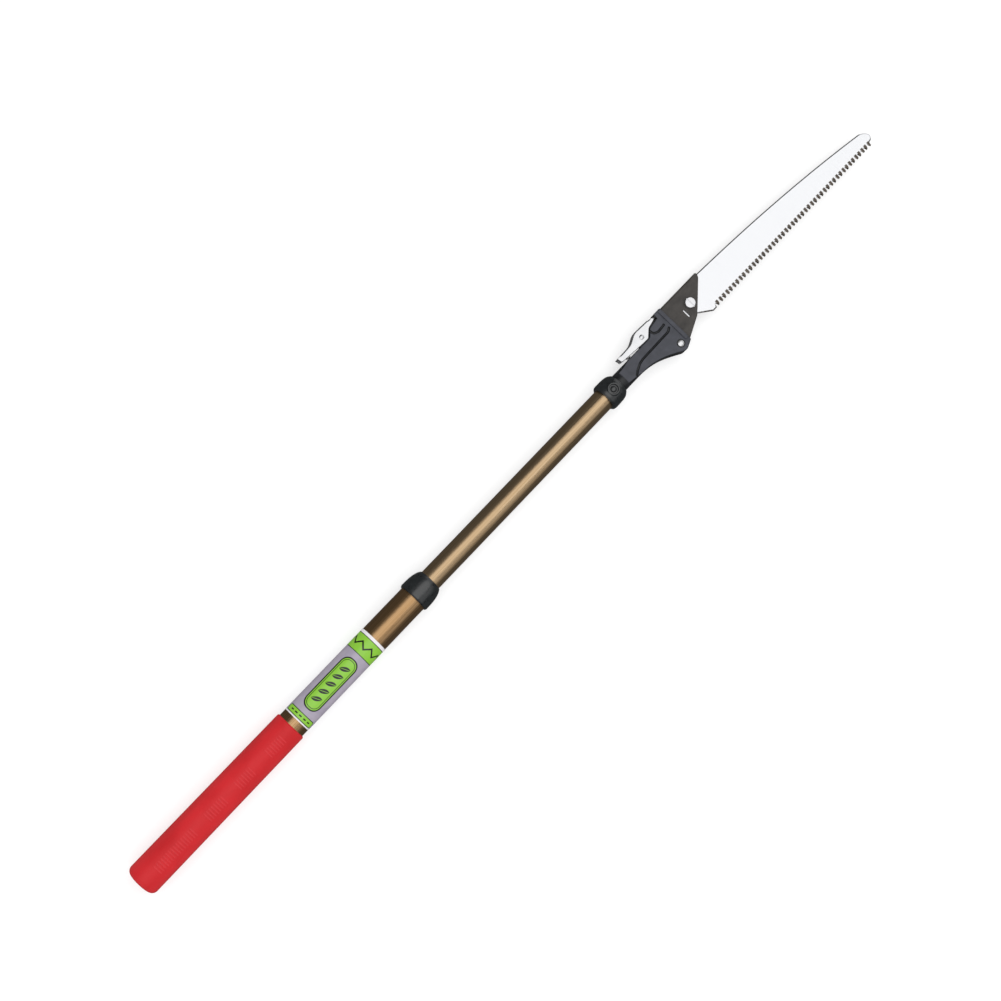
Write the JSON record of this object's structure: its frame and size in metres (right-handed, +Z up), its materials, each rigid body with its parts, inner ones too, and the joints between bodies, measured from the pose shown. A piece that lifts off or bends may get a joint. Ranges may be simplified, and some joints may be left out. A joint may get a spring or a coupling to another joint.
{
  "type": "telescoping pole saw",
  "caption": "Telescoping pole saw: two-stage tube with a red grip, twist lock, and a folding head that clamps a straight-toothed pruning blade.",
  "frame": {"origin": "middle of the grip's flat butt face, on the pole's axis", "axes": "+X along the pole towards the blade's tip, +Y towards the blade's spine and the lock lever, +Z up from the saw lying on its side, towards the button and the blade bolt's head"},
  "size_m": [1.0046, 0.0478, 0.0324],
  "materials": {
    "grip": "moulded soft red sleeve, satin",
    "anodised_tube": "drawn tube, bronze anodised, fine lengthwise lines",
    "black_nylon": "moulded black nylon, satin",
    "natural_nylon": "moulded natural nylon",
    "label_film": "printed film",
    "cast_head": "cast, dark grey paint, satin",
    "holder_coat": "folded sheet steel, dark warm grey coat",
    "blade_steel": "polished and chromed saw steel",
    "plated_steel": "bright zinc-plated steel",
    "spring_steel": "spring and stud steel"
  },
  "bodies": {
    "pole": {"grip_sleeve": "grip", "tube_end_plug": "black_nylon", "outer_tube": "anodised_tube", "label_wrap": "label_film", "pole_collar": "black_nylon", "guide_bush": "natural_nylon"},
    "expander": {"expander_sleeve": "natural_nylon"},
    "cone": {"expander_cone": "plated_steel"},
    "inner_pole": {"inner_end_plug": "black_nylon", "lock_screw": "spring_steel", "screw_clip": "spring_steel", "inner_tube": "anodised_tube", "head_collar": "black_nylon", "head_casting": "cast_head", "button_spring": "spring_steel", "lever_spring": "spring_steel", "lever_pin": "plated_steel", "pivot_rivet": "plated_steel"},
    "button": {"snap_button": "black_nylon"},
    "lever": {"lock_lever": "plated_steel"},
    "blade_arm": {"pivot_washer_front": "natural_nylon", "pivot_washer_rear": "natural_nylon", "blade_holder": "holder_coat", "pivot_spacer": "spring_steel", "blade": "blade_steel", "blade_bolt": "plated_steel", "bolt_washer": "plated_steel", "blade_nut": "plated_steel"}
  },
  "joints": [
    {"name": "pole_slide", "type": "slide", "parent": "pole", "child": "expander", "axis": [1, 0, 0], "range_m": [-0.236, 0.055]},
    {"name": "pole_twist", "type": "hinge", "parent": "expander", "child": "inner_pole", "pos_m": [0.2845, 0, 0], "axis": [1, 0, 0], "range_deg": [-180, 0]},
    {"name": "cone_travel", "type": "slide", "parent": "expander", "child": "cone", "axis": [1, 0, 0], "range_m": [-0.0011, 0]},
    {"name": "holder_fold", "type": "hinge", "parent": "inner_pole", "child": "blade_arm", "pos_m": [0.7024, -0.0164, 0], "axis": [0, 0, 1], "range_deg": [-175, 0]},
    {"name": "lever_pivot", "type": "hinge", "parent": "inner_pole", "child": "lever", "pos_m": [0.6798, 0.015, 0], "axis": [0, 0, 1], "range_deg": [0, 4], "stiffness_Nm_per_rad": 0.4, "springref_deg": -8.59, "deforming": ["lever_spring"]},
    {"name": "button_press", "type": "slide", "parent": "inner_pole", "child": "button", "axis": [0, 0, -1], "range_m": [0, 0.005], "stiffness_N_per_m": 500, "springref_m": -0.002, "deforming": ["button_spring"]}
  ],
  "couplings": [
    {"joint": "cone_travel", "follows": "pole_twist", "m_per_rad": 0.00031831}
  ]
}
